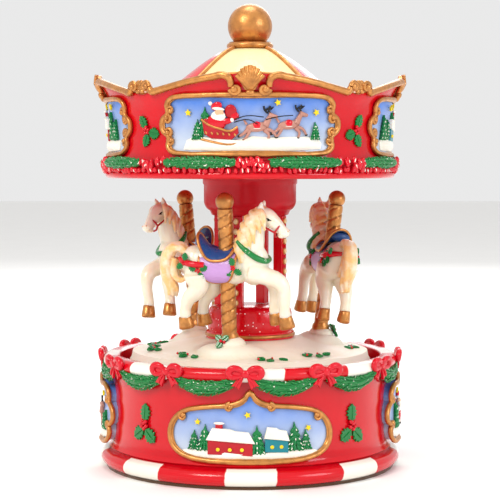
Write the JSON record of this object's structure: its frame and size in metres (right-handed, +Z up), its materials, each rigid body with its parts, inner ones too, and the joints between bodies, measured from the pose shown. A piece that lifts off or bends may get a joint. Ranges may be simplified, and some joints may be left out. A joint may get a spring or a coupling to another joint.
{
  "type": "wind up music box",
  "caption": "Round wind-up musical carousel: a drum base with a spring movement, a turning snow deck, column, canopy and horses on poles.",
  "frame": {"origin": "on the floor under the centre of the round base", "axes": "+Z up the column, -Y toward the front picture, +X to the right seen from the front"},
  "size_m": [0.1092, 0.1092, 0.16],
  "materials": {
    "red_resin": "gloss painted resin",
    "dark_red": "matt painted resin",
    "glitter_red": "red resin with glitter",
    "cream_resin": "satin cream painted resin",
    "ivory_resin": "gloss ivory resin",
    "snow": "matt white, grainy as snow",
    "gold_paint": "satin gold paint",
    "brown_felt": "brown felt",
    "black_plastic": "moulded matt plastic",
    "key_brass": "polished brass plate",
    "brass": "satin brass",
    "steel": "brushed steel"
  },
  "bodies": {
    "base": {"base_shell": "red_resin", "felt_foot_ring": "brown_felt", "base_cover": "black_plastic", "cover_screw_1": "steel", "cover_screw_2": "steel", "cover_screw_3": "steel", "movement_screw_1": "steel", "movement_screw_2": "steel", "movement_screw_3": "steel", "movement_bedplate": "brass", "barrel_pillar_1": "brass", "barrel_pillar_2": "brass", "barrel_bridge": "brass", "inner_bearing": "brass", "outer_bearing": "brass", "tone_comb": "steel", "comb_block": "brass", "comb_screw_1": "steel", "comb_screw_2": "steel", "click_spring": "steel", "click_pin": "steel", "governor_bracket": "brass"},
    "winding": {"winding_key": "key_brass", "winding_arbor": "steel", "ratchet_wheel": "steel"},
    "click": {"click_pawl": "steel"},
    "carousel": {"spring_barrel": "brass", "barrel_lid": "brass", "mainspring": "steel", "drive_spindle": "steel", "hub_nut": "steel", "snow_deck": "snow", "column_drum": "glitter_red", "column_post_1": "red_resin", "column_post_2": "red_resin", "column_post_3": "red_resin", "column_post_4": "red_resin", "column_capital": "dark_red", "canopy_soffit": "red_resin", "canopy_fascia": "red_resin", "canopy_roof": "cream_resin", "neck_ring": "red_resin", "finial_ball": "gold_paint", "pole_1": "gold_paint", "horse_1": "ivory_resin", "pole_2": "gold_paint", "horse_2": "ivory_resin", "pole_3": "gold_paint", "horse_3": "ivory_resin"},
    "cylinder": {"melody_cylinder": "brass", "cylinder_arbor": "steel", "cylinder_pinion": "brass", "great_wheel": "brass"},
    "second_wheel": {"second_arbor": "steel", "worm_wheel": "brass"},
    "governor": {"governor_worm": "steel", "fan_wings": "brass"}
  },
  "joints": [
    {"name": "carousel_turn", "type": "hinge", "parent": "base", "child": "carousel", "pos_m": [0, 0, 0.0335], "axis": [0, 0, 1], "continuous": true},
    {"name": "key_wind", "type": "hinge", "parent": "base", "child": "winding", "pos_m": [0, 0, 0.005], "axis": [0, 0, -1], "range_deg": [0, 1890]},
    {"name": "click_drop", "type": "hinge", "parent": "base", "child": "click", "pos_m": [-0.0089, -0.0044, 0.01492], "axis": [0, 0, -1], "range_deg": [0, 7]},
    {"name": "cylinder_turn", "type": "hinge", "parent": "base", "child": "cylinder", "pos_m": [0.013, 0, 0.02034], "axis": [1, 0, 0], "continuous": true},
    {"name": "second_wheel_turn", "type": "hinge", "parent": "base", "child": "second_wheel", "pos_m": [0.0319, 0.0073, 0.02034], "axis": [1, 0, 0], "continuous": true},
    {"name": "governor_turn", "type": "hinge", "parent": "base", "child": "governor", "pos_m": [0.0358, 0.0119, 0.02034], "axis": [0, 0, 1], "continuous": true}
  ],
  "couplings": [
    {"joint": "cylinder_turn", "follows": "carousel_turn", "ratio": -3},
    {"joint": "second_wheel_turn", "follows": "carousel_turn", "ratio": 15},
    {"joint": "governor_turn", "follows": "carousel_turn", "ratio": -150}
  ]
}
